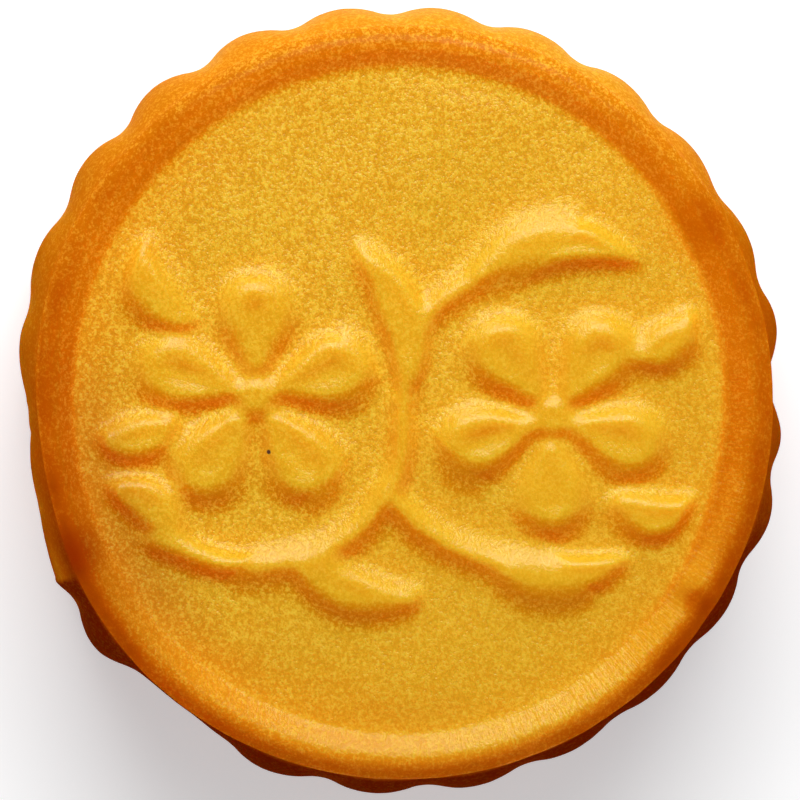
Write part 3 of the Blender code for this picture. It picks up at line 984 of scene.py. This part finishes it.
def crust_mesh(form, material):
    """The crust as a plain mesh."""
    lines, count = stroke_lines()
    holder = bpy.data.objects.new("crust_maker", lines)
    bpy.context.scene.collection.objects.link(holder)
    tree, values, skin = crust_tree(form, count)
    modifier = holder.modifiers.new("Crust", "NODES")
    modifier.node_group = tree
    for identifier, value in values.items():
        modifier[identifier] = value
    modifier[skin] = material
    graph = bpy.context.evaluated_depsgraph_get()
    mesh = bpy.data.meshes.new_from_object(holder.evaluated_get(graph), depsgraph=graph)
    bpy.data.objects.remove(holder, do_unlink=True)
    bpy.data.meshes.remove(lines)
    if len(mesh.polygons) == 0:
        raise RuntimeError("the crust's Geometry Nodes gave no faces")
    return mesh


# The baked skin


def attribute(tree, name):
    return add_node(tree, "ShaderNodeAttribute", {"attribute_name": name}, output="Fac")


def mixed(tree, share, first, second, blend="MIX"):
    """Two colours mixed by a share."""
    node = tree.nodes.new("ShaderNodeMix")
    node.data_type = "RGBA"
    node.blend_type = blend
    plug(tree, share, node.inputs["Factor"])
    plug(tree, first, node.inputs[6])
    plug(tree, second, node.inputs[7])
    return Field(tree, node.outputs[2])


def colour_ramp(tree, share, stops):
    """A colour that runs through the stops, each a place from 0 to 1 and its colour."""
    node = tree.nodes.new("ShaderNodeValToRGB")
    ramp = node.color_ramp
    while len(ramp.elements) < len(stops):
        ramp.elements.new(0.5)
    for element, (place, colour) in zip(ramp.elements, stops):
        element.position = place
        element.color = (*colour, 1.0)
    plug(tree, share, node.inputs[0])
    return Field(tree, node.outputs["Color"])


def spot(tree, place, centre, radius):
    """1 at a place, in millimetres, and 0 beyond this distance from it."""
    middle = tuple(part * MM for part in centre)
    distance = vector_maths(tree, "DISTANCE", place, middle)
    return distance.between(radius * MM, 0.0)


def skin_zones(tree, place):
    """How each point lies to the rim, the lip, the fold, the spots and the near side, which is darker partly
    as baked hotter and partly as painted shade.
    """
    x, y, z = split(tree, place)
    under = z.between(*BASE_ZONE)
    above = 1.0 - under
    from_lip = attribute(tree, "from_lip") / MM * above + BASE_FROM_LIP * under
    groove = attribute(tree, "groove") * above
    fold = attribute(tree, "fold") * above
    away = vector_maths(tree, "NORMALIZE", joined(tree, x, y, 0.0))
    near = away.along(NEAR_WAY) * 0.5 + 0.5
    right = away.along(RIGHT_WAY).most(0.0) ** 2.0
    zones = {
        "above": above,
        "under": under,
        "from_lip": from_lip,
        "away": away,
        "relief": attribute(tree, "relief") * above,
        "lean": attribute(tree, "lean") * above,
        "hollow": groove**3.0,
        "flute": 1.0 - groove,
        "fold": fold,
        # A painted highlight along the edges of the fold, at its start and at its torn end.
        "torn": fold * (1.0 - fold) * 4.0,
        "near": near,
        "far": 1.0 - near,
        # The near side: browner from the oven in part, and in part painted shade away from the key light.
        "burnt": near.between(*BURNT_AND_SHADED_ZONE),
        "left": (away.along(LEFT_WAY) * 0.5 + 0.5) ** 2.0,
        "right": right,
        "rim": (from_lip + right * RIM_MORE_AT_RIGHT).between(*RIM_ZONE),
        "foot": z.between(*FOOT_ZONE),
        # A paler line along the lip, stronger on the near side: partly the bead's colour, partly a painted
        # highlight.
        "edge": (-((from_lip / LIP_HIGHLIGHT_WIDTH) ** 2.0)).exp() * (LIP_HIGHLIGHT_LEAST + near * (1.0 - LIP_HIGHLIGHT_LEAST)),
        "calm": place.along(CALM_WAY).between(*CALM_ZONE),
        "broad": noise(tree, place, BROAD_PATCH, 2.0) - 0.5,
        "middling": noise(tree, place, MIDDLING_PATCH, 5.0) - 0.5,
    }
    for name, span in LIP_ZONES.items():
        zones[name] = from_lip.between(*span)
    for name, (way, start, full) in WAY_ZONES.items():
        zones[name] = away.along(way).between(start, full)
    for name, (centre, radius) in SPOTS.items():
        zones[name] = spot(tree, place, centre, radius)
    return SimpleNamespace(**zones)


def browning(at, least, zones):
    """The least browning and what each zone adds to it."""
    total = least
    for zone, *parts in zones:
        added = 0.0
        for share, *others in parts:
            added = math.prod((getattr(at, other) for other in others), start=share) + added
        total = getattr(at, zone) * added + total
    return total


def skin_grain(tree, place, bake, at, browned):
    """Fine grains: their noise, the pale ones, the dim ones, and how much the skin shows of them."""
    fine = noise(tree, place, bake.grain_size, 11.0, detail=1.0)
    finer = noise(tree, place, bake.grain_size * 0.5, 17.0, detail=1.0)
    mingled = fine * FINE_SHARE + finer * (1.0 - FINE_SHARE)
    smooth = 1.0 - at.relief.between(*RELIEF_SMOOTHS) * RELIEF_SMOOTHNESS
    pale = mingled.between(*PALE_GRAIN)
    browned = (browned - (pale - 0.3) * bake.grain_share * GRAIN_BROWNING).clamped()
    rough = smooth * (1.0 - browned * BROWN_SMOOTHS).most(at.side * SIDE_LEAST_GRAIN)
    rough = rough * (1.0 - at.side * SIDE_SMOOTHNESS)
    shown = rough * bake.grain_share * (1.0 - at.calm * CALM_SHARE)
    grain = SimpleNamespace(
        fine=fine,
        mingled=mingled,
        pale=pale * shown,
        dim=mingled.between(*DIM_GRAIN) * shown,
        rough=rough,
    )
    return grain, browned


def skin_colour(tree, place, bake, at, grain, browned, painted_shaded_slopes):
    """The crust's colour by its browning, and what tints it in places, one over the other. Some tints are
    painted light and shade: paler slopes towards the key light, deep orange slopes away from it, a darker
    side and a shade patch at the lower left.
    """
    stops = zip(BROWNING_STOPS, (bake.gold, bake.amber, bake.brown, bake.umber))
    colour = colour_ramp(tree, browned, list(stops))
    plain_rim = at.rim * (1.0 - at.burnt * RIM_LESS_LIT_PAINT)
    # Painted light: slopes that lean towards the key light at +Y are painted paler yellow.
    painted_lit_slopes = at.lean.between(*LIT_PAINT_LEAN) * (1.0 - at.crest) * (1.0 - plain_rim)
    # Painted shade: the face near the rim at the lower left is darkened.
    painted_shade_patch = at.low_left * at.from_lip.between(*SHADE_PATCH_START) * at.from_lip.between(*SHADE_PATCH_END)
    first, second = (spot(tree, place, *speck) for speck in SPECKS)
    tints = (
        (at.relief.between(*CUSHION_RELIEF) * CUSHION_SHARE, bake.cushion, "MIX"),
        (painted_lit_slopes * (LIT_PAINT_SHARE - at.left * LIT_PAINT_LESS_AT_LEFT), bake.butter, "MIX"),
        (painted_shaded_slopes * SHADE_PAINT_SHARE, bake.honey, "MIX"),
        (at.redder * (1.0 - at.side) * RUSSET_SHARE, bake.russet, "MIX"),
        # Painted shade over the side and the far lip.
        (at.side.most(at.lip * at.far), bake.shade, "MULTIPLY"),
        # Pale grains, in part painted glints.
        (grain.pale, bake.glint, "MIX"),
        (painted_shade_patch, PAINTED_SHADE_TINT, "MULTIPLY"),
        (grain.dim, bake.dusk, "MULTIPLY"),
        ((first.most(second) * SPECK_SHARPNESS).clamped() * SPECK_SHARE, SPECK_COLOUR, "MIX"),
    )
    for share, tint, blend in tints:
        colour = mixed(tree, share, colour, (*tint, 1.0), blend)
    return colour


def skin_bump(tree, at, grain):
    """The grain, and the streaks across the rim where the dough was drawn out."""
    across, up, _ = split(tree, scaled(tree, at.away, STREAK_RADIUS))
    round_cake = joined(tree, across, up, at.from_lip * STREAK_STRETCH)
    streaks = noise(tree, round_cake, STREAK_WIDTH, 23.0, detail=1.0)
    drawn_out = at.from_lip.between(*STREAK_START) * at.from_lip.between(*STREAK_END) * at.streaked
    height = grain.mingled * grain.rough + streaks * drawn_out * STREAK_HEIGHT
    return add_node(tree, "ShaderNodeBump", Distance=BUMP_HEIGHT, Strength=1.0, Height=height)


def crust_material(bake):
    """Baked skin: gold on the face, amber on the rim, brown at the lip and on the near side, where the brown
    is partly painted shade.
    """
    material = bpy.data.materials.new("baked_crust_skin")
    material.use_nodes = True
    tree = material.node_tree
    shader = tree.nodes["Principled BSDF"]
    place = Field(tree, tree.nodes.new("ShaderNodeTexCoord").outputs["Object"])
    at = skin_zones(tree, place)
    browned = browning(at, LEAST_BROWNING, BROWNING).clamped() * at.above
    browned = browned + browning(at, BASE_BROWNING, BASE_PATCHES) * at.under
    grain, browned = skin_grain(tree, place, bake, at, browned)
    # Painted shade: slopes that lean away from the key light, to -Y, are painted deep orange, and their
    # glaze is dulled.
    painted_shaded_slopes = at.lean.between(*SHADE_PAINT_LEAN) * (1.0 - at.crest) * (1.0 - at.rim * RIM_LESS_SHADE_PAINT)
    plug(tree, skin_colour(tree, place, bake, at, grain, browned, painted_shaded_slopes), shader.inputs["Base Color"])

    rough = bake.roughness + at.middling * PATCH_ROUGHNESS + (0.5 - grain.fine) * GRAIN_ROUGHNESS
    plug(tree, rough.clamped(), shader.inputs["Roughness"])
    bump = skin_bump(tree, at, grain)
    plug(tree, bump, shader.inputs["Normal"])
    plug(tree, bump, shader.inputs["Coat Normal"])

    shader.subsurface_method = "BURLEY"
    shader.inputs["Subsurface Weight"].default_value = 1.0
    shader.inputs["Subsurface Radius"].default_value = GLOW_RADIUS
    shader.inputs["Subsurface Scale"].default_value = bake.depth
    glaze = (1.0 - browned * BROWN_DULLS).clamped() * bake.glaze * at.above
    glaze = glaze * (1.0 - at.side * (1.0 - at.far**3.0 * FAR_SIDE_GLAZE))
    glaze = glaze * (1.0 - at.crest * at.far * FAR_CREST_DULLS) * (1.0 - painted_shaded_slopes * SHADE_PAINT_DULLS)
    plug(tree, glaze.clamped(), shader.inputs["Coat Weight"])
    shader.inputs["Specular IOR Level"].default_value = 0.0
    shader.inputs["Coat Roughness"].default_value = COAT_ROUGHNESS
    shader.inputs["Coat IOR"].default_value = COAT_IOR
    arrange(tree)
    return material


# The stage


def floor_material(colour, glow):
    """Plain pale matt board with the faintest unevenness, lit a little from inside."""
    material = bpy.data.materials.new("pale_board")
    material.use_nodes = True
    tree = material.node_tree
    shader = tree.nodes["Principled BSDF"]
    place = Field(tree, tree.nodes.new("ShaderNodeTexCoord").outputs["Object"])
    cloud = noise(tree, place, BOARD_PATCH, 1.0, detail=3.0)
    paler = tuple(min(1.0, part * 1.03) for part in colour)
    plug(tree, mixed(tree, cloud, (*colour, 1.0), (*paler, 1.0)), shader.inputs["Base Color"])
    plug(tree, cloud * BOARD_UNEVENNESS + BOARD_ROUGHNESS, shader.inputs["Roughness"])
    shader.inputs["Specular IOR Level"].default_value = 0.2
    shader.inputs["Emission Color"].default_value = (*colour, 1.0)
    shader.inputs["Emission Strength"].default_value = glow
    arrange(tree)
    return material


def add_floor(stage):
    mesh = bpy.data.meshes.new("floor")
    corners = [(x * FLOOR_HALF, y * FLOOR_HALF, 0.0) for x, y in ((-1, -1), (1, -1), (1, 1), (-1, 1))]
    mesh.from_pydata(corners, [], [(0, 1, 2, 3)])
    mesh.materials.append(floor_material(stage.floor_colour, stage.floor_glow))
    floor = bpy.data.objects.new("floor", mesh)
    bpy.context.scene.collection.objects.link(floor)


def add_key_light(elevation, distance, power):
    """The broad soft light, which stands over +Y and looks at the cake."""
    data = bpy.data.lights.new("key", "AREA")
    data.shape = "RECTANGLE"
    data.size, data.size_y = KEY_SIDES
    data.energy = power
    data.color = KEY_COLOUR
    light = bpy.data.objects.new("key", data)
    towards = Vector((0.0, math.cos(elevation), math.sin(elevation)))
    light.location = towards * distance + Vector((0.0, 0.0, KEY_AIM))
    light.rotation_euler = towards.to_track_quat("Z", "Y").to_euler()
    bpy.context.scene.collection.objects.link(light)


def set_world(strength):
    """Weak warm light from all round, and a pale backdrop where the camera sees past the floor."""
    world = bpy.data.worlds.new("studio")
    world.use_nodes = True
    tree = world.node_tree
    light = tree.nodes["Background"]
    light.inputs["Color"].default_value = WORLD_COLOUR
    light.inputs["Strength"].default_value = strength
    seen = tree.nodes.new("ShaderNodeBackground")
    seen.inputs["Color"].default_value = BACKDROP_COLOUR
    seen.inputs["Strength"].default_value = 1.0
    path = tree.nodes.new("ShaderNodeLightPath")
    mix = tree.nodes.new("ShaderNodeMixShader")
    plug(tree, path.outputs["Is Camera Ray"], mix.inputs[0])
    plug(tree, light.outputs[0], mix.inputs[1])
    plug(tree, seen.outputs[0], mix.inputs[2])
    plug(tree, mix.outputs[0], tree.nodes["World Output"].inputs["Surface"])
    arrange(tree)
    bpy.context.scene.world = world


def add_camera(stage):
    data = bpy.data.cameras.new("camera")
    data.lens = stage.lens_length
    data.sensor_width = 36.0
    data.clip_start = 0.01
    camera = bpy.data.objects.new("camera", data)
    aside, ahead = -math.sin(stage.lens_lean), math.sin(stage.lens_tilt)
    back = Vector((aside, ahead, math.sqrt(1.0 - aside**2 - ahead**2)))
    right = Vector((0.0, 1.0, 0.0)).cross(back).normalized()
    camera.location = Vector((stage.aim_x, stage.aim_y, FACE_LEVEL)) + back * stage.lens_distance
    camera.rotation_euler = Matrix((right, back.cross(right), back)).transposed().to_euler()
    bpy.context.scene.collection.objects.link(camera)
    bpy.context.scene.camera = camera


class MOONCAKE_OT_crust(bpy.types.Operator):
    """Build the baked crust in place of the plain solid"""

    bl_idname = "mooncake.crust"
    bl_label = "Build Crust"
    bl_options = {"REGISTER", "UNDO"}

    def execute(self, context):
        settings = context.scene.mooncake_form
        material = crust_material(context.scene.mooncake_bake)
        crust = bpy.data.objects.new("mooncake_crust", crust_mesh(settings, material))
        context.scene.collection.objects.link(crust)
        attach(crust, "root")
        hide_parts(CAKE_NODE)
        return {"FINISHED"}


class MOONCAKE_OT_stage(bpy.types.Operator):
    """Set up the floor, the lights and the camera"""

    bl_idname = "mooncake.stage"
    bl_label = "Set Up Stage"
    bl_options = {"REGISTER", "UNDO"}

    def execute(self, context):
        stage = context.scene.mooncake_stage
        add_floor(stage)
        add_key_light(stage.key_elevation, stage.key_distance, stage.key_power)
        set_world(stage.fill)
        add_camera(stage)
        context.scene.view_settings.view_transform = "Standard"
        return {"FINISHED"}


class MOONCAKE_PT_sidebar(bpy.types.Panel):
    """Builds the mooncake and its stage from their sizes and colours"""

    bl_idname = "MOONCAKE_PT_sidebar"
    bl_label = "Mooncake"
    bl_space_type = "VIEW_3D"
    bl_region_type = "UI"
    bl_category = "Mooncake"

    def draw(self, context):
        for operator, settings in (
            ("mooncake.crust", (context.scene.mooncake_form, context.scene.mooncake_bake)),
            ("mooncake.stage", (context.scene.mooncake_stage,)),
        ):
            self.layout.operator(operator)
            column = self.layout.column(align=True)
            for group in settings:
                for size in group.bl_rna.properties:
                    if size.identifier not in ("rna_type", "name"):
                        column.prop(group, size.identifier)


CLASSES = (
    MooncakeForm,
    MooncakeBake,
    MooncakeStage,
    MOONCAKE_OT_crust,
    MOONCAKE_OT_stage,
    MOONCAKE_PT_sidebar,
)


def register():
    for kind in CLASSES:
        bpy.utils.register_class(kind)
    bpy.types.Scene.mooncake_form = PointerProperty(type=MooncakeForm)
    bpy.types.Scene.mooncake_bake = PointerProperty(type=MooncakeBake)
    bpy.types.Scene.mooncake_stage = PointerProperty(type=MooncakeStage)


def unregister():
    del bpy.types.Scene.mooncake_stage
    del bpy.types.Scene.mooncake_bake
    del bpy.types.Scene.mooncake_form
    for kind in reversed(CLASSES):
        bpy.utils.unregister_class(kind)


def main():
    register()
    bpy.ops.mooncake.crust()
    bpy.ops.mooncake.stage()


if __name__ == "__main__":
    main()
